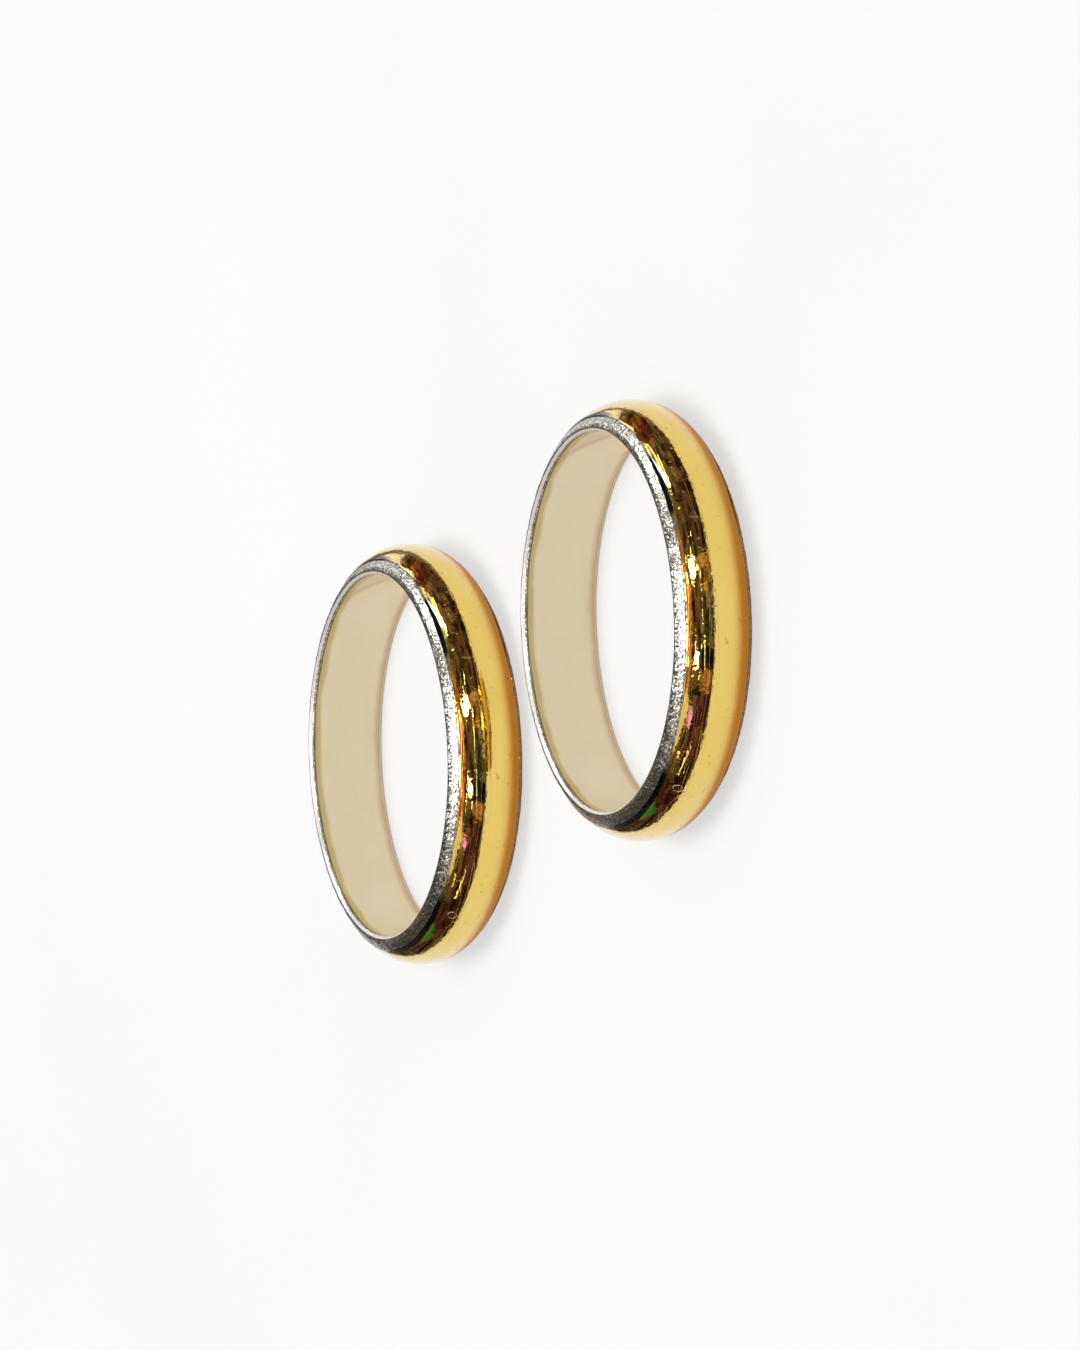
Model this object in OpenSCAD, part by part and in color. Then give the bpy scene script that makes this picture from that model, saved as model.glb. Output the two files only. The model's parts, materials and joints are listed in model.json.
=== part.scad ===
// Pair of two-tone finger rings for hand percussion, lying flat side by side.
// Each ring has three pieces: a steel core, a domed brass band held between the core's
// rolled-out rims, and a thin liner that snaps in behind the core's two small lips.
// Millimetres. +Z is up, X runs through both ring centres, and Z = 0 is the table.

/* [Bore and walls] */
// Diameter of the hole that the finger goes through
bore_d = 20.6; // [16:0.2:23]
// Thickness of the liner
liner_t = 0.3; // [0.2:0.05:0.45]
// Thickness of the steel core's sleeve
core_t = 0.4; // [0.3:0.05:0.6]
// Thickness of the brass band at its crown
band_t = 1.0; // [0.8:0.05:1.3]
// Thickness of the brass band at its edges, where the dome meets the rims
edge_t = 0.15; // [0.1:0.05:0.3]

/* [Width and rims] */
// Overall width of a ring, from one ground land to the other
ring_w = 4.5; // [4:0.1:6]
// Width of the steel rim that shows at each end of the band
rim_w = 0.4; // [0.35:0.05:0.5]
// Width of the flat ground land that the ring lies on
land_w = 0.2; // [0.15:0.05:0.3]
// Width and depth of the chamfer between the land and the bore
chamfer_w = 0.15; // [0.1:0.01:0.18]
// Width of the lip that holds the liner at each end
lip_w = 0.1; // [0.08:0.01:0.15]

/* [Pair] */
// Distance between the two ring centres at rest
ring_pitch = 33; // [30:0.5:60]

/* [Hidden] */
$fn = 144;

// Radii, from the finger outwards
bore_r = bore_d/2;
liner_r = bore_r + liner_t;
seat_r = liner_r + core_t;
edge_r = seat_r + edge_t;
outer_r = seat_r + band_t;

// Heights above the ring's middle plane
half_w = ring_w/2;
band_half_w = half_w - rim_w;
chamfer_z = half_w - chamfer_w;
liner_half_w = chamfer_z - lip_w;

// Radius of the dome, one arc across the band from edge to edge over its crown
dome_h = outer_r - edge_r;
dome_r = (dome_h*dome_h + band_half_w*band_half_w)/(2*dome_h);

// Upper half of the core's outline: recess for the liner, lip, chamfer, land, bevel, band's seat
land_r = bore_r + chamfer_w;
core_upper = [
    [liner_r, liner_half_w], [bore_r, liner_half_w], [bore_r, chamfer_z],
    [land_r, half_w], [land_r + land_w, half_w], [edge_r, band_half_w], [seat_r, band_half_w]
];
core_lower = [for (i = [len(core_upper) - 1:-1:0]) [core_upper[i][0], -core_upper[i][1]]];

module core_section() {
    polygon(concat(core_upper, core_lower));
}

// Band's section: domed outside, straight where it seats on the core, flat at both edges
module band_section() {
    intersection() {
        translate([outer_r - dome_r, 0]) circle(dome_r);
        translate([seat_r, -band_half_w]) square([band_t, 2*band_half_w]);
    }
}

module liner_section() {
    translate([bore_r, -liner_half_w]) square([liner_t, 2*liner_half_w]);
}

// Turns a section into a ring that lies on the table; side is -1 for left and 1 for right
module ring_from_section(side) {
    translate([side*ring_pitch/2, 0, half_w]) rotate_extrude() children();
}

module steel_core(side) {
    color([0.72, 0.71, 0.70]) ring_from_section(side) core_section();
}

module brass_band(side) {
    color([0.86, 0.72, 0.36]) ring_from_section(side) band_section();
}

module ivory_liner(side) {
    color([0.86, 0.80, 0.68]) ring_from_section(side) liner_section();
}

module left_steel_core() steel_core(-1);
module left_brass_band() brass_band(-1);
module left_ivory_liner() ivory_liner(-1);
module right_steel_core() steel_core(1);
module right_brass_band() brass_band(1);
module right_ivory_liner() ivory_liner(1);

left_steel_core();
left_brass_band();
left_ivory_liner();
right_steel_core();
right_brass_band();
right_ivory_liner();
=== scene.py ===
import json
import math

import bpy
import numpy as np
from mathutils import Matrix, Vector


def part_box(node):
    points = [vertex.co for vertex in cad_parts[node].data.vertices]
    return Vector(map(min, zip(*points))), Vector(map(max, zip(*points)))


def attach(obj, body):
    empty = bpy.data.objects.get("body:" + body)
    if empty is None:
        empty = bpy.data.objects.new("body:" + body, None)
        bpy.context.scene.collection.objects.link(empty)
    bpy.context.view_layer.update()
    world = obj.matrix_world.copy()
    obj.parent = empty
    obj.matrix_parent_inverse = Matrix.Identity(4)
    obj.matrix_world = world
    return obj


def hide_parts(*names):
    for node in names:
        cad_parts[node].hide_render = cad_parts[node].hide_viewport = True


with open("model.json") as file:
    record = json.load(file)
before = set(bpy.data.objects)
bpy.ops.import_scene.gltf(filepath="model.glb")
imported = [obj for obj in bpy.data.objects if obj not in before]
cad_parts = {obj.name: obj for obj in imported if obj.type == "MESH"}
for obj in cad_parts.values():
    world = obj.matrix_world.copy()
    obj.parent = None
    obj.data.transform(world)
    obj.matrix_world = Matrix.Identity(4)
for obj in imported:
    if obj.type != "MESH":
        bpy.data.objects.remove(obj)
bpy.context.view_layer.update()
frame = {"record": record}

# ---------------------------------------------------------------------------------------------
# Sizes. Lengths are millimetres until a mesh is made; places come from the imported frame.
# On a ring, angles are degrees from the pair's +X and heights are above its middle plane.
# ---------------------------------------------------------------------------------------------
MM = 0.001
RINGS = ("left", "right")
AROUND = 960               # mesh steps round a ring

BAND_EDGE_T = 0.15         # thickness of the brass band at its edges
BAND_GAP = 0.006           # air between the band and the core that holds it
LINER_GAP = 0.012          # air between the liner and its recess
LAND_W = 0.1               # what stays flat of the ground land, once its edge is eased
EASED_W = 0.28             # how far from the chamfer the eased edge reaches
EASED_DROP = 0.06          # how far it falls over that width

# The dome sinks a little at its very edge, where steel was rolled over it: how far, and the
# distances from the edge at which the outline has a point
EDGE_DIP = 0.015
EDGE_DISTANCES = [0, 0.015, 0.03, 0.04, 0.055, 0.07, 0.085, 0.11]

# Broad shallow dings in the dome: angle, height, half width and depth
BAND_DINGS = [(38, 0.25, 0.24, 0.009), (141, -0.6, 0.20, 0.008), (214, 0.5, 0.26, 0.009)]

# Small sharp dings, each with a rubbed outline: angle, height, radius and depth
SHARP_DINGS = [(297, 1.05, 0.28, 0.016), (295, 0.34, 0.20, 0.010), (120, 0.9, 0.16, 0.008),
               (205, -0.8, 0.22, 0.010)]

# Stretches of the seam beside the steel that are coloured near-black: first and last angle
SEAM_STRETCHES = [(-158, -118), (-106, -52), (10, 46), (66, 150)]
SEAM_FADE = 8              # degrees over which each stretch comes and goes
SEAM_ON_BRASS = 0.14       # width of the near-black colour on each side of the seam
SEAM_ON_STEEL = 0.06

# Stretches of angle for the darkened land and for the painted reflection on the liner: where each starts,
# is full, is still full and ends
LAND_DARKENING_STRETCH = (-68.4, -43.2, 0.0, 32.4)
REFLECTION_MARK_STRETCH = (77.4, 88.2, 106.2, 117.0)

# The line of the painted brown reflection on the liner: the angle where it crosses the liner's middle,
# and its rise per degree
REFLECTION_MARK_CROSSES = 87.755
REFLECTION_MARK_RISE = 0.098

mounts = {m["name"]: m for m in frame["record"]["mounts"]}


def span(node, axis):
    """Low and high end of a CAD node along one axis, in millimetres."""
    low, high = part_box(node)
    return low[axis] / MM, high[axis] / MM


class Ring:
    """The driving sizes of one ring, read from its CAD nodes."""

    def __init__(self, side):
        self.side = side
        band_low, band_high = span(f"{side}_brass_band", 0)
        core_low, core_high = span(f"{side}_steel_core", 0)
        liner_low, liner_high = span(f"{side}_ivory_liner", 0)
        self.centre = Vector(((band_low + band_high) / 2, 0, sum(span(f"{side}_steel_core", 2)) / 2))
        self.crown_r = (band_high - band_low) / 2
        self.edge_r = (core_high - core_low) / 2
        self.liner_r = (liner_high - liner_low) / 2
        self.bore_r = mounts[f"{side}_finger_bore"]["dims"]["r_mm"]
        self.half_w = np.ptp(span(f"{side}_steel_core", 2)) / 2
        self.band_half_w = np.ptp(span(f"{side}_brass_band", 2)) / 2
        self.liner_half_w = np.ptp(span(f"{side}_ivory_liner", 2)) / 2
        self.bore_half_w = mounts[f"{side}_finger_bore"]["dims"]["length_mm"] / 2
        rise = self.crown_r - self.edge_r
        self.dome_r = (rise ** 2 + self.band_half_w ** 2) / (2 * rise)
        self.edge_slope = math.asin(self.band_half_w / self.dome_r)
        self.seat_r = self.edge_r - BAND_EDGE_T
        self.land_r = self.bore_r + self.half_w - self.bore_half_w

    def on_dome(self, angle, height):
        """A place on the dome, in the ring's own coordinates."""
        r = self.crown_r - self.dome_r + math.sqrt(self.dome_r ** 2 - height ** 2)
        return (r * math.cos(math.radians(angle)), r * math.sin(math.radians(angle)), height)


# ---------------------------------------------------------------------------------------------
# Mesh work
# ---------------------------------------------------------------------------------------------
def ripple(theta, s, seed, waves, low, high, cross):
    """Smooth random unevenness of about unit size over angle theta and distance s across the
    ring. Each wave goes round a whole number of times, from low to high, so the ends meet, and
    slants by a random amount that grows with cross."""
    rng = np.random.default_rng(seed)
    total = np.zeros(np.broadcast(theta, s).shape)
    for _ in range(waves):
        turns = rng.integers(low, high + 1)
        total += np.cos(turns * theta + cross * rng.normal() * s + rng.uniform(0, 2 * math.pi))
    return total / math.sqrt(waves / 2)


def fillet_points(points, i, size, steps=4):
    """Points of a small fillet that rounds corner i of a closed outline."""
    here = points[i]
    back = points[i - 1] - here
    ahead = points[(i + 1) % len(points)] - here
    start = here + back / np.linalg.norm(back) * size
    end = here + ahead / np.linalg.norm(ahead) * size
    t = np.linspace(0, 1, steps)[:, None]
    return list((1 - t) ** 2 * start + 2 * t * (1 - t) * here + t ** 2 * end)


def closed_outline(corners, longest):
    """Closed outline from corners of (radius, height, fillet), where a fillet of 0 leaves the
    corner sharp. Sides longer than longest are cut into equal steps."""
    points = [np.array(corner[:2]) for corner in corners]
    out = []
    for i, (_, _, fillet) in enumerate(corners):
        out += fillet_points(points, i, fillet) if fillet else [points[i]]
    filled = []
    for a, b in zip(out, out[1:] + out[:1]):
        cuts = max(1, math.ceil(np.linalg.norm(b - a) / longest))
        filled += [a + (b - a) * k / cuts for k in range(cuts)]
    return np.array(filled)


def sweep(name, ring, outline, shift):
    """Closed ring mesh: outline holds (radius, height) points, turned about the ring's own axis.
    shift(theta, outline) returns how far each point moves in radius and height."""
    theta = np.arange(AROUND) * 2 * math.pi / AROUND
    grid = outline[None] + shift(theta[:, None], outline)
    r, z = grid[..., 0], grid[..., 1]
    places = np.stack([r * np.cos(theta)[:, None], r * np.sin(theta)[:, None], z], axis=-1)
    across = len(outline)
    i, j = np.meshgrid(np.arange(AROUND), np.arange(across), indexing="ij")
    i2, j2 = (i + 1) % AROUND, (j + 1) % across
    faces = np.stack([i * across + j, i2 * across + j, i2 * across + j2, i * across + j2], axis=-1)

    mesh = bpy.data.meshes.new(name)
    mesh.from_pydata((places.reshape(-1, 3) * MM).tolist(), [], faces.reshape(-1, 4).tolist())
    mesh.shade_smooth()

    # UVs in millimetres: u runs round the ring at the crown's radius, v along the outline
    steps = np.linalg.norm(np.diff(outline, axis=0, append=outline[:1]), axis=1)
    v = np.concatenate([[0], np.cumsum(steps)])
    u = np.arange(AROUND + 1) * 2 * math.pi / AROUND * ring.crown_r
    corners_u = np.stack([u[i], u[i + 1], u[i + 1], u[i]], axis=-1)
    corners_v = np.stack([v[j], v[j], v[j + 1], v[j + 1]], axis=-1)
    layer = mesh.uv_layers.new(name="across_and_round")
    layer.data.foreach_set("uv", np.stack([corners_u, corners_v], axis=-1).ravel())

    piece = bpy.data.objects.new(name, mesh)
    piece.location = ring.centre * MM
    bpy.context.scene.collection.objects.link(piece)
    return piece


def finish_piece(piece, ring, part, material):
    """Puts a material on a piece and lets it stand for its CAD node."""
    piece.data.materials.append(material)
    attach(piece, f"{ring.side}_ring")
    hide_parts(f"{ring.side}_{part}")


# ---------------------------------------------------------------------------------------------
# The three pieces of a ring
# ---------------------------------------------------------------------------------------------
def build_band(ring, seed):
    """Domed brass band: hand-polished, so its dome is very slightly uneven, with a few dings."""
    ends = ring.edge_slope - np.array(EDGE_DISTANCES) / ring.dome_r
    arc = np.concatenate([-ends, np.linspace(-ends[-1], ends[-1], 51)[1:-1], ends[::-1]])
    from_edge = (ring.edge_slope - np.abs(arc)) * ring.dome_r
    radius = ring.dome_r - EDGE_DIP * np.clip(1 - from_edge / EDGE_DISTANCES[-1], 0, 1) ** 2
    dome_x = ring.crown_r - ring.dome_r + radius * np.cos(arc)
    dome_z = radius * np.sin(arc)
    seat = ring.seat_r + BAND_GAP
    end_z = ring.band_half_w - BAND_GAP
    dome_z[0], dome_z[-1] = -end_z, end_z
    dome = [(x, z, 0) for x, z in zip(dome_x, dome_z)]
    outline = closed_outline([(seat, -end_z, 0)] + dome + [(seat, end_z, 0)], longest=0.5)

    def shift(theta, outline):
        r, z = outline[:, 0], outline[:, 1]
        broad = 0.0024 * ripple(theta, z, seed, 14, 9, 38, 1.2)
        fine = 0.0007 * ripple(theta, z, seed + 1, 14, 50, 120, 3)
        inward = broad + fine - 0.007
        for angle, height, size, deep in BAND_DINGS:
            turn = (theta - math.radians(angle) + math.pi) % (2 * math.pi) - math.pi
            far = np.hypot(turn * ring.crown_r, z - height) / size
            dent = deep * np.exp(-far ** 4)
            raised_lip = 0.35 * deep * np.exp(-(far - 1.35) ** 2 * 14)
            inward = inward - dent + raised_lip
        off_seat = np.clip((r - ring.seat_r) / 0.1, 0, 1)
        inward = np.minimum(inward, 0) * off_seat
        return np.stack([inward, np.zeros_like(inward)], axis=-1)

    return sweep(f"{ring.side}_brass_band_polished", ring, outline, shift)


def build_core(ring, seed):
    """Steel core: sleeve with a lip, chamfer, ground land and bevel at each end. The bevel's
    thin outer edge was rolled over the band, so it lies on the dome with a ragged line."""
    # Unit steps from the dome's edge: along the dome towards its crown, and straight out of it
    down = np.array([math.sin(ring.edge_slope), -math.cos(ring.edge_slope)])
    out = np.array([math.cos(ring.edge_slope), math.sin(ring.edge_slope)])
    edge = np.array([ring.edge_r, ring.band_half_w])
    rolled_tip = edge + out * 0.004
    rolled_root = edge - out * 0.020 - down * 0.02
    upper = [
        (ring.liner_r, ring.liner_half_w, 0),
        (ring.bore_r, ring.liner_half_w, 0.035),
        (ring.bore_r, ring.bore_half_w, 0.03),
        (ring.land_r, ring.half_w, 0.035),
        (ring.land_r + LAND_W, ring.half_w, 0.04),
        (ring.land_r + EASED_W, ring.half_w - EASED_DROP, 0.06),
        (*rolled_tip, 0),
        (*rolled_root, 0),
        (ring.seat_r, ring.band_half_w, 0),
    ]
    lower = [(r, -z, fillet) for r, z, fillet in reversed(upper)]
    outline = closed_outline(upper + lower, longest=0.07)

    def shift(theta, outline):
        r, z = outline[:, 0], outline[:, 1]
        end = np.sign(z)

        def wave(number, low, high, cross):
            return ripple(theta, end * 9 + r, seed + number, 16, low, high, cross)

        # Ragged outer edge, where the bevel feathers out on the dome
        near_end = np.abs(z) > ring.band_half_w - 0.05
        at_edge = np.clip(1 - np.abs(r - ring.edge_r) / 0.05, 0, 1) * near_end
        reach = 0.035 + 0.026 * wave(1, 12, 60, 0.4) + 0.016 * wave(2, 90, 200, 0.4)
        ragged = at_edge * np.clip(reach, -0.01, 0.10)
        # Grinding by hand leaves the bevel and the chamfer uneven; the land stays flat
        on_rim = (np.abs(z) > ring.bore_half_w - 0.05) | (r > ring.land_r + 0.25)
        off_land = np.clip((ring.half_w - np.abs(z)) / 0.04, 0, 1) * on_rim * (1 - at_edge)
        uneven = off_land * (-0.012 + 0.006 * wave(3, 14, 60, 3) + 0.004 * wave(4, 90, 200, 20))
        uneven = np.minimum(uneven, 0)
        dr = ragged * down[0] + uneven * out[0]
        dz = end * (ragged * down[1] + uneven * out[1])
        return np.stack([dr, dz], axis=-1)

    return sweep(f"{ring.side}_steel_core_ground", ring, outline, shift)


def build_liner(ring, seed):
    """Thin liner: its two ends are rounded, the upper one more, which leaves a fine dark seam."""
    back = ring.liner_r - LINER_GAP
    end = ring.liner_half_w - LINER_GAP
    outline = closed_outline([
        (ring.bore_r, end, 0.06), (back, end, 0), (back, -end, 0), (ring.bore_r, -end, 0.02),
    ], longest=0.2)

    def shift(theta, outline):
        r, z = outline[:, 0], outline[:, 1]
        inner = np.clip((back - r) / 0.1, 0, 1)
        uneven = inner * (0.003 + 0.0022 * ripple(theta, z, seed, 12, 3, 16, 0.8))
        return np.stack([np.maximum(uneven, 0), np.zeros_like(uneven)], axis=-1)

    return sweep(f"{ring.side}_ivory_liner_smooth", ring, outline, shift)


# ---------------------------------------------------------------------------------------------
# Materials
# ---------------------------------------------------------------------------------------------
class Nodes:
    """The node tree of a material or a world, with short calls to add and join nodes."""

    def __init__(self, owner, shader="Principled BSDF"):
        owner.use_nodes = True
        self.owner = owner
        self.tree = owner.node_tree
        self.shader = self.tree.nodes[shader]

    def plug(self, socket, value):
        """Links another node's socket into this one, or sets it to a constant."""
        if isinstance(value, bpy.types.NodeSocket):
            self.tree.links.new(value, socket)
        elif socket.type == "RGBA":
            socket.default_value = (*value, 1.0)
        else:
            socket.default_value = value

    def set(self, node, key, value):
        self.plug(next(s for s in node.inputs if s.name.lower() == key.lower() and s.enabled), value)

    def add(self, kind, settings=None, **inputs):
        node = self.tree.nodes.new(kind)
        for key, value in (settings or {}).items():
            setattr(node, key, value)
        for key, value in inputs.items():
            self.set(node, key.replace("_", " "), value)
        return node

    def math(self, operation, a, b=0.0):
        node = self.add("ShaderNodeMath", {"operation": operation})
        self.plug(node.inputs[0], a)
        self.plug(node.inputs[1], b)
        return node.outputs[0]

    def vector_math(self, operation, a, b=(0, 0, 0)):
        """A vector operation that gives a number."""
        node = self.add("ShaderNodeVectorMath", {"operation": operation})
        self.plug(node.inputs[0], a)
        self.plug(node.inputs[1], b)
        return node.outputs["Value"]

    def mix(self, factor, a, b, blend="MIX"):
        """Mixes two colours, each a tuple or a socket."""
        node = self.add("ShaderNodeMix", {"data_type": "RGBA", "blend_type": blend})
        for number, value in ((0, factor), (6, a), (7, b)):
            self.plug(node.inputs[number], value)
        return node.outputs[2]

    def spread(self, value, low, high, out_low=0.0, out_high=1.0, smooth=True):
        """Maps value from low..high to out_low..out_high, held at both ends."""
        kind = "SMOOTHSTEP" if smooth else "LINEAR"
        return self.add("ShaderNodeMapRange", {"interpolation_type": kind}, Value=value, From_Min=low,
                        From_Max=high, To_Min=out_low, To_Max=out_high).outputs["Result"]

    def window(self, value, start, full, still_full, end):
        """1 while value is between full and still_full, fading to 0 at start and end."""
        return self.math("MULTIPLY", self.spread(value, start, full), self.spread(value, end, still_full))

    def ramp(self, value, stops, interpolation="LINEAR"):
        """Colour for a value of 0..1, from stops of (value, colour)."""
        node = self.add("ShaderNodeValToRGB", Fac=value)
        node.color_ramp.interpolation = interpolation
        elements = node.color_ramp.elements
        while len(elements) < len(stops):
            elements.new(1.0)
        for element, (position, colour) in zip(elements, stops):
            element.position = position
            element.color = (*colour, 1.0)
        return node.outputs["Color"]

    def place(self, scale=(1, 1, 1), source="Object", turn=0.0):
        """Object or UV coordinates in millimetres, times scale on each axis."""
        if source == "Object":
            coords = self.add("ShaderNodeTexCoord").outputs["Object"]
            scale = [s / MM for s in scale]
        else:
            coords = self.add("ShaderNodeUVMap", {"uv_map": "across_and_round"}).outputs["UV"]
        return self.add("ShaderNodeMapping", Vector=coords, Scale=scale, Rotation=(0, 0, turn)).outputs[0]

    def height(self):
        """Height above the ring's middle plane."""
        return self.add("ShaderNodeSeparateXYZ", Vector=self.place()).outputs["Z"]

    def radius(self):
        """Distance from the ring's axis."""
        return self.vector_math("LENGTH", self.place((1, 1, 0)))

    def turn(self):
        """0..1 round the ring: 0.5 at the pair's +X, rising with the angle."""
        return self.add("ShaderNodeTexGradient", {"gradient_type": "RADIAL"},
                        Vector=self.place()).outputs["Fac"]

    def angle(self):
        """Degrees round the ring from the pair's +X, -180 to 180."""
        return self.spread(self.turn(), 0, 1, -180, 180, smooth=False)

    def noise(self, scale, detail=2.0, rough=0.5, source="Object", turn=0.0, distortion=0.0):
        """Noise of 0..1. scale is per millimetre: one number, or one for each axis."""
        scale = scale if isinstance(scale, tuple) else (scale,) * 3
        vector = self.place(scale, source, turn)
        return self.add("ShaderNodeTexNoise", Vector=vector, Scale=1.0, Detail=detail, Roughness=rough,
                        Distortion=distortion).outputs["Fac"]

    def hairlines(self, along, across, turn, width):
        """1 on fine, long scratch lines and 0 elsewhere. along and across are per millimetre."""
        value = self.noise((along, across, 1.0), 1.0, 0.5, "UV", turn)
        distance = self.math("ABSOLUTE", self.math("SUBTRACT", value, 0.5))
        return self.spread(distance, width, 0.0)

    def bump(self, height, deep, normal=None):
        """Bump from a height of 0..1 that is deep millimetres from bottom to top."""
        node = self.add("ShaderNodeBump", Height=height, Strength=1.0, Distance=deep * MM)
        if normal:
            self.set(node, "Normal", normal)
        return node.outputs[0]

    def scratch(self, mask, deep, normal):
        """Bump that sinks deep millimetres where mask is 1."""
        return self.bump(self.math("SUBTRACT", 1.0, mask), deep, normal)

    def finish(self, **inputs):
        for key, value in inputs.items():
            self.set(self.shader, key.replace("_", " "), value)
        return self.owner


def seam_stretches(n):
    """1 along the stretches of the seam that are coloured near-black, fading to 0 between them."""
    stops = []
    for start, end in SEAM_STRETCHES:
        stops += [(start, 0.0), (start + SEAM_FADE, 1.0), (end - SEAM_FADE, 1.0), (end, 0.0)]
    return n.ramp(n.turn(), [(degrees / 360 + 0.5, (level,) * 3) for degrees, level in stops])


def rubbed_dings(n, ring, normal):
    """The small sharp dings: their bump, and a mask of the broken outline rubbed round each."""
    worn = 0.0
    for angle, height, size, deep in SHARP_DINGS:
        far = n.vector_math("DISTANCE", n.place(), ring.on_dome(angle, height))
        normal = n.bump(n.spread(far, size, 0.7 * size, 1.0, 0.0), deep, normal)
        worn = n.math("MAXIMUM", worn, n.window(far, 0.70 * size, 0.90 * size, 0.94 * size, 1.12 * size))
    return normal, n.math("MULTIPLY", worn, n.spread(n.noise(7.0, 1), 0.38, 0.52))


def polished_brass(ring):
    """Mirror-polished brass under a thin clear coat: hairline scratches, faint buffing lines,
    small specks and dings, and near-black colour along stretches of the seam."""
    n = Nodes(bpy.data.materials.new("polished_brass"))
    patches = n.spread(n.noise((0.25, 0.25, 0.4), 3), 0.35, 0.7)
    colour = n.mix(patches, (0.79, 0.550, 0.105), (0.81, 0.580, 0.130))
    specks = n.spread(n.noise(3.2, 0), 0.765, 0.83)
    colour = n.mix(n.math("MULTIPLY", specks, 0.5), colour, (0.42, 0.27, 0.08))

    # Near-black colour over the dome's last stretch before the steel, with a wandering edge
    wander = n.math("MULTIPLY", n.math("SUBTRACT", n.noise(5.0, 1), 0.5), 0.10)
    from_middle = n.math("ADD", n.math("ABSOLUTE", n.height()), wander)
    starts = ring.band_half_w - SEAM_ON_BRASS
    seam = n.spread(from_middle, starts - 0.04, starts)
    seam = n.math("MULTIPLY", seam, seam_stretches(n))
    colour = n.mix(seam, colour, (0.0015, 0.0012, 0.001))

    buffing = n.noise((0.12, 0.12, 9.0), 3, 0.6)
    lines = n.math("MAXIMUM", n.hairlines(0.10, 2.6, 0.04, 0.010), n.hairlines(0.16, 1.7, 0.9, 0.007))
    normal = n.bump(n.noise(4.0), 0.009)
    normal = n.bump(buffing, 0.0006, normal)
    normal = n.scratch(lines, 0.0012, normal)
    normal = n.scratch(specks, 0.004, normal)
    normal, worn = rubbed_dings(n, ring, normal)
    colour = n.mix(n.math("MULTIPLY", worn, 0.6), colour, (0.62, 0.47, 0.33))

    rough = n.spread(buffing, 0.3, 0.75, 0.022, 0.055)
    for mask, rougher in ((seam, 0.35), (lines, 0.10), (specks, 0.25), (worn, 0.2)):
        rough = n.math("ADD", rough, n.math("MULTIPLY", mask, rougher))
    metal = n.math("SUBTRACT", 1.0, n.math("MULTIPLY", worn, 0.5))
    return n.finish(Base_Color=colour, Metallic=metal, Roughness=rough, Normal=normal, Coat_Weight=0.8,
                    Coat_Roughness=0.03, Coat_IOR=1.5)


def ground_steel(ring):
    """Ground steel: sparkling file grain on the rims, with pits and a few longer, brighter
    scratches, much darker over one stretch of the land, and finished differently on its two chamfers."""
    n = Nodes(bpy.data.materials.new("ground_steel"))
    height = n.height()
    radius = n.radius()
    grain = n.noise(6.5, 3, 0.65)
    coarse = n.spread(n.noise(1.6), 0.45, 0.75)
    marks = n.hairlines(0.35, 1.6, 0.85, 0.012)
    pits = n.spread(n.noise(11.0, 2, 0.6), 0.42, 0.36)
    colour = n.mix(n.spread(grain, 0.38, 0.62), (0.20, 0.215, 0.18), (0.86, 0.88, 0.80))
    colour = n.mix(n.math("MULTIPLY", coarse, 0.35), colour, (0.30, 0.295, 0.27))
    colour = n.mix(n.math("MULTIPLY", marks, 0.6), colour, (0.90, 0.89, 0.86))
    colour = n.mix(n.math("MULTIPLY", pits, 0.85), colour, (0.02, 0.022, 0.016))

    # Near-black colour over the bevel's last stretch before the brass
    starts = ring.edge_r - SEAM_ON_STEEL
    seam = n.math("MULTIPLY", n.spread(radius, starts - 0.05, starts), seam_stretches(n))
    colour = n.mix(seam, colour, (0.0015, 0.0013, 0.0012))

    # The land and the bevel's inner side are coloured much darker over one stretch, which dulls the key
    # light's highlight there
    land_darkening = n.math("MULTIPLY", n.window(n.angle(), *LAND_DARKENING_STRETCH),
                   n.spread(radius, ring.land_r + 0.44, ring.land_r + 0.30))
    land_darkening = n.math("MULTIPLY", land_darkening, n.spread(n.noise(8.0, 2, 0.6), 0.42, 0.55, 0.25, 0.97))
    colour = n.mix(land_darkening, colour, (0.03, 0.032, 0.028))

    # The liner's finish runs on over the lower lip and chamfer; the upper chamfer is left satin
    inside = n.spread(radius, ring.land_r + 0.02, ring.land_r)
    washed = n.spread(height, 0.1 - ring.liner_half_w, 0.05 - ring.liner_half_w)
    washed = n.math("MULTIPLY", inside, washed)
    colour = n.mix(washed, colour, (0.64, 0.52, 0.38))
    satin = n.math("MULTIPLY", inside, n.spread(height, ring.bore_half_w, ring.bore_half_w + 0.03))
    satin = n.math("MULTIPLY", satin, 0.7)
    colour = n.mix(satin, colour, (0.76, 0.70, 0.68))
    metal = n.math("SUBTRACT", n.math("SUBTRACT", 1.0, washed), satin)

    rough = n.spread(grain, 0.3, 0.7, 0.26, 0.12)
    rough = n.math("ADD", rough, n.math("MULTIPLY", seam, 0.35))
    rough = n.math("MAXIMUM", rough, n.math("MULTIPLY", washed, 0.3))
    normal = n.bump(n.noise((1.5, 7.0, 1.0), 3, 0.7, "UV", 0.5, 0.6), 0.008)
    normal = n.bump(grain, 0.028, normal)
    normal = n.scratch(marks, 0.003, normal)
    return n.finish(Base_Color=colour, Metallic=metal, Roughness=rough, Normal=normal)


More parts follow.
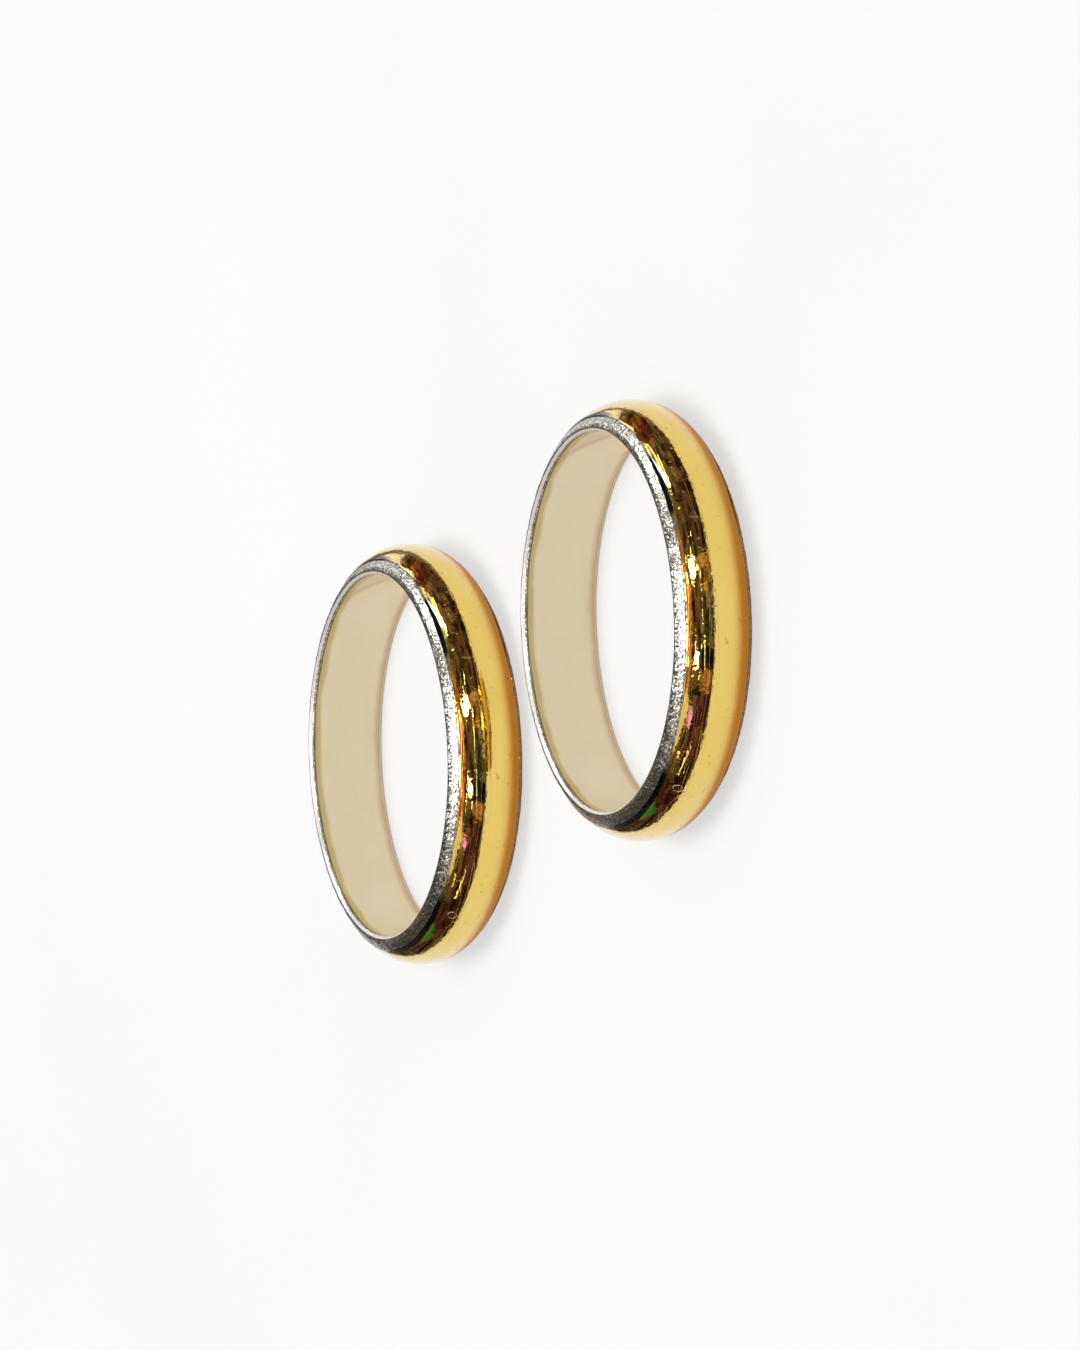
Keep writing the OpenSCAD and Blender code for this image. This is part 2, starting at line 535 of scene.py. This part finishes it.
def painted_reflection_mark(n, height, wander):
    """A painted reflection on the liner: a soft brown line that climbs across it as it goes round,
    with a fainter painted shade above the line."""
    angle = n.angle()
    line_height = n.math("MULTIPLY", n.math("SUBTRACT", angle, REFLECTION_MARK_CROSSES), REFLECTION_MARK_RISE)
    climb = n.math("SUBTRACT", n.math("ADD", height, n.math("MULTIPLY", wander, 0.4)), line_height)
    line = n.spread(n.math("ABSOLUTE", climb), 0.60, 0.0)
    fainter_shade = n.spread(climb, -0.2, 0.5)
    mark = n.math("MAXIMUM", n.math("MULTIPLY", line, 0.42), n.math("MULTIPLY", fainter_shade, 0.22))
    return n.math("MULTIPLY", mark, n.window(angle, *REFLECTION_MARK_STRETCH))


def ivory(ring):
    """Smooth ivory-coloured liner: satin, a little mottled, olive-gold beside the upper lip,
    warmer beside the lower one, and crossed by a painted brown reflection."""
    n = Nodes(bpy.data.materials.new("ivory_liner"))
    end = ring.liner_half_w
    height = n.height()
    mottled = n.spread(n.noise((0.35, 0.35, 0.5), 3), 0.35, 0.7)
    colour = n.mix(mottled, (0.775, 0.658, 0.445), (0.795, 0.682, 0.472))
    wander = n.math("MULTIPLY", n.math("SUBTRACT", n.noise(0.5), 0.5), 0.5)
    # Olive-gold band beside the upper lip, with a wandering edge
    upper_lip_olive = n.spread(n.math("ADD", height, wander), end - 0.55, end - 0.22)
    colour = n.mix(n.math("MULTIPLY", upper_lip_olive, 0.85), colour, (0.53, 0.395, 0.11))
    warmer = n.spread(n.math("SUBTRACT", wander, height), end - 0.45, end)
    colour = n.mix(n.math("MULTIPLY", warmer, 0.7), colour, (0.56, 0.40, 0.26))
    seam = n.math("ADD", height, n.math("MULTIPLY", wander, 0.25))
    seam = n.spread(seam, end - 0.10, end - 0.05)
    colour = n.mix(n.math("MULTIPLY", seam, 0.8), colour, (0.12, 0.095, 0.055))
    # Painted reflection: a soft brown line with fainter painted shade above it, across the liner
    colour = n.mix(painted_reflection_mark(n, height, wander), colour, (0.42, 0.29, 0.17))

    rough = n.spread(n.noise(1.2), 0.3, 0.7, 0.12, 0.20)
    normal = n.bump(n.noise((0.4, 0.4, 4.0)), 0.001)
    normal = n.scratch(n.hairlines(0.2, 2.0, 0.05, 0.02), 0.0004, normal)
    return n.finish(Base_Color=colour, Roughness=rough, IOR=1.5, Normal=normal)


# ---------------------------------------------------------------------------------------------
# Studio
# ---------------------------------------------------------------------------------------------
def direction(azimuth, elevation):
    """Unit vector from the rings towards a place given in degrees: azimuth 0 is -Y, 90 is +X."""
    a, e = math.radians(azimuth), math.radians(elevation)
    return Vector((math.sin(a) * math.cos(e), -math.cos(a) * math.cos(e), math.sin(e)))


CAMERA = {"azimuth": 77.66, "elevation": 22.87, "roll": -91.85, "distance": 0.6, "lens": 286.5,
          "target": Vector((-0.00241, 0.00128, 0.0))}


def make_camera():
    """Long lens at a low angle over the table, turned on its side as the picture was taken."""
    back = direction(CAMERA["azimuth"], CAMERA["elevation"])
    turn = Matrix.Rotation(math.radians(CAMERA["roll"]), 4, "Z")
    camera = bpy.data.objects.new("camera", bpy.data.cameras.new("camera"))
    camera.data.lens = CAMERA["lens"]
    camera.data.sensor_width = 36
    camera.data.clip_start, camera.data.clip_end = 0.01, 20
    facing = (-back).to_track_quat("-Z", "Y").to_matrix().to_4x4()
    camera.matrix_world = Matrix.Translation(CAMERA["target"] + back * CAMERA["distance"]) @ facing @ turn
    bpy.context.scene.collection.objects.link(camera)
    bpy.context.scene.camera = camera


# In mirrors the pale sheet under the rings ends soon behind them: the azimuth of that side, and
# the distances from the ring pair's middle over which it ends, in millimetres
SHEET_END_AZIMUTH = 225
SHEET_END = (40, 46)


def make_floor():
    """Plain pale floor, large enough to fill every view."""
    reach = 3.0
    mesh = bpy.data.meshes.new("floor")
    mesh.from_pydata([(-reach, -reach, 0), (reach, -reach, 0), (reach, reach, 0), (-reach, reach, 0)], [],
                     [(0, 1, 2, 3)])
    floor = bpy.data.objects.new("floor", mesh)
    bpy.context.scene.collection.objects.link(floor)
    n = Nodes(bpy.data.materials.new("pale_floor"))
    shade = n.spread(n.noise(0.02), 0.3, 0.7)
    colour = n.mix(shade, (0.250, 0.250, 0.249), (0.265, 0.265, 0.264))
    # Close under the brass the floor is lit only by light off the brass: warm, as mirrors show it
    open_sky = n.add("ShaderNodeAmbientOcclusion", {"samples": 8}, Distance=4 * MM).outputs["AO"]
    mirrored = n.add("ShaderNodeLightPath").outputs["Is Glossy Ray"]
    under = n.math("MULTIPLY", n.spread(open_sky, 0.64, 0.60), mirrored)
    colour = n.mix(under, colour, (0.34, 0.24, 0.13))
    glow = n.mix(under, (1.0, 1.0, 1.0), (0.55, 0.27, 0.12))
    behind = n.vector_math("DOT_PRODUCT", n.place(), direction(SHEET_END_AZIMUTH, 0))
    past = n.math("MULTIPLY", n.spread(behind, *SHEET_END), mirrored)
    colour = n.mix(past, colour, (0.05, 0.04, 0.03))
    glow = n.mix(past, glow, (0.16, 0.12, 0.08))
    mesh.materials.append(n.finish(Base_Color=colour, Roughness=0.9, Specular_IOR_Level=0.1,
                                   Emission_Color=glow, Emission_Strength=0.60))


# Key light: azimuth, elevation, distance, width, height, radiance and colour
KEY = [(257, 87, 0.80, 0.37, 0.37, 9.5, (1.0, 1.0, 1.0))]

# Reflector cards, which light only what mirrors them, with the same columns
CARDS = [
    (232, 9, 0.90, 0.41, 0.28, 1.00, (1.0, 1.0, 1.0)),
    (216, 23, 0.85, 0.24, 0.09, 2.6, (1.0, 0.94, 0.95)),
    (180, 40, 0.85, 0.40, 0.07, 36.0, (1.0, 1.0, 1.0)),
    (108, 45, 0.85, 0.08, 0.14, 90.0, (1.0, 1.0, 1.0)),
    (54, 43, 0.85, 0.06, 0.10, 90.0, (1.0, 0.98, 0.98)),
    (19, 39, 0.85, 0.12, 0.15, 2.0, (0.50, 0.22, 0.85)),
    (359, 22, 0.85, 0.27, 0.005, 14.0, (1.0, 1.0, 1.0)),
    (352, 37, 0.85, 0.05, 0.04, 3.0, (1.0, 0.80, 0.45)),
    (311, 20, 0.85, 0.20, 0.17, 0.20, (0.02, 1.0, 0.25)),
    (0, 54, 0.85, 0.45, 0.20, 0.80, (1.0, 0.93, 0.90)),
]


def make_lights():
    """The key light and the reflector cards, each turned to face the rings."""
    for i, (azimuth, elevation, distance, width, height, radiance, colour) in enumerate(KEY + CARDS):
        data = bpy.data.lights.new(f"light_{i}", "AREA")
        data.shape, data.size, data.size_y = "RECTANGLE", width, height
        data.energy = radiance * math.pi * width * height
        data.color = colour
        light = bpy.data.objects.new(data.name, data)
        away = direction(azimuth, elevation)
        light.location = away * distance
        light.rotation_mode = "QUATERNION"
        light.rotation_quaternion = away.to_track_quat("Z", "Y")
        light.visible_camera = False
        light.visible_diffuse = i < len(KEY)
        bpy.context.scene.collection.objects.link(light)


# The room that the polished metal mirrors: where each panel starts, in degrees of azimuth, and
# its radiance, from the floor up to the panels' top
ROOM = [
    (0, (0.060, 0.024, 0.042)), (40, (0.38, 0.21, 0.13)), (50, (0.012, 0.010, 0.014)),
    (62, (0.17, 0.17, 0.15)), (91, (0.44, 0.26, 0.16)), (112, (0.070, 0.042, 0.045)),
    (155, (0.14, 0.10, 0.10)), (190, (0.06, 0.018, 0.020)), (202, (0.36, 0.15, 0.08)),
    (209, (0.06, 0.020, 0.020)), (213, (0.20, 0.17, 0.14)), (280, (0.15, 0.125, 0.095)),
    (296, (0.065, 0.024, 0.028)), (332, (0.052, 0.026, 0.034)),
]
UPPER_WALL = (0.080, 0.062, 0.054)
CEILING = (0.62, 0.26, 0.16)
CEILING_BEHIND = (0.50, 0.50, 0.48)
AMBIENT = (0.80, 0.80, 0.80)

# Elevations, in degrees, over which one part of the room gives way to the next
FLOOR_SHADE = (1, 16)
PANELS_END = (31, 35)
CEILING_STARTS = (55, 60)


def make_room():
    """Even pale light on everything that is not a mirror, and a dim panelled room in mirrors."""
    world = bpy.data.worlds.new("room")
    bpy.context.scene.world = world
    n = Nodes(world, "Background")
    ray = n.add("ShaderNodeTexCoord").outputs["Generated"]
    split = n.add("ShaderNodeSeparateXYZ", Vector=ray)
    rise = n.math("ARCSINE", split.outputs["Z"])
    blotch = n.add("ShaderNodeTexNoise", Vector=ray, Scale=6.0, Detail=5.0, Roughness=0.65).outputs["Fac"]

    def over(elevations, out_low=0.0, out_high=1.0):
        low, high = elevations
        return n.spread(rise, math.radians(low), math.radians(high), out_low, out_high)

    # Panels by azimuth, with slightly uneven edges
    turn = n.math("ARCTAN2", split.outputs["X"], n.math("MULTIPLY", split.outputs["Y"], -1.0))
    turn = n.math("FRACT", n.math("ADD", n.math("DIVIDE", turn, 2 * math.pi), 1.0))
    turn = n.math("ADD", turn, n.math("MULTIPLY", n.math("SUBTRACT", blotch, 0.5), 0.02))
    colour = n.ramp(turn, [(azimuth / 360, radiance) for azimuth, radiance in ROOM], "CONSTANT")

    # Above them the upper wall, and a ceiling that is greyer behind the rings
    colour = n.mix(over(PANELS_END), colour, UPPER_WALL)
    facing = n.vector_math("DOT_PRODUCT", ray, direction(CAMERA["azimuth"], 0))
    ceiling = n.mix(n.spread(facing, 0.06, 0.14), CEILING_BEHIND, CEILING)
    colour = n.mix(over(CEILING_STARTS), colour, ceiling)

    # Blotches over everything, darker towards the floor
    blotches = n.math("MULTIPLY", over(FLOOR_SHADE, 0.35, 1.0), n.spread(blotch, 0.40, 0.62))
    colour = n.mix(1.0, colour, n.mix(blotches, (0.12, 0.09, 0.08), (2.2, 2.1, 2.0)), "MULTIPLY")
    mirrored = n.add("ShaderNodeLightPath").outputs["Is Glossy Ray"]
    n.finish(Color=n.mix(mirrored, AMBIENT, colour))


# ---------------------------------------------------------------------------------------------
# The scene
# ---------------------------------------------------------------------------------------------
make_camera()
make_floor()
make_lights()
make_room()
bpy.context.scene.view_settings.view_transform = "Standard"

rings = [Ring(side) for side in RINGS]
brass = polished_brass(rings[0])
steel = ground_steel(rings[0])
liner = ivory(rings[0])
for number, ring in enumerate(rings):
    finish_piece(build_band(ring, 11 + number), ring, "brass_band", brass)
    finish_piece(build_core(ring, 31 + 7 * number), ring, "steel_core", steel)
    finish_piece(build_liner(ring, 71 + number), ring, "ivory_liner", liner)
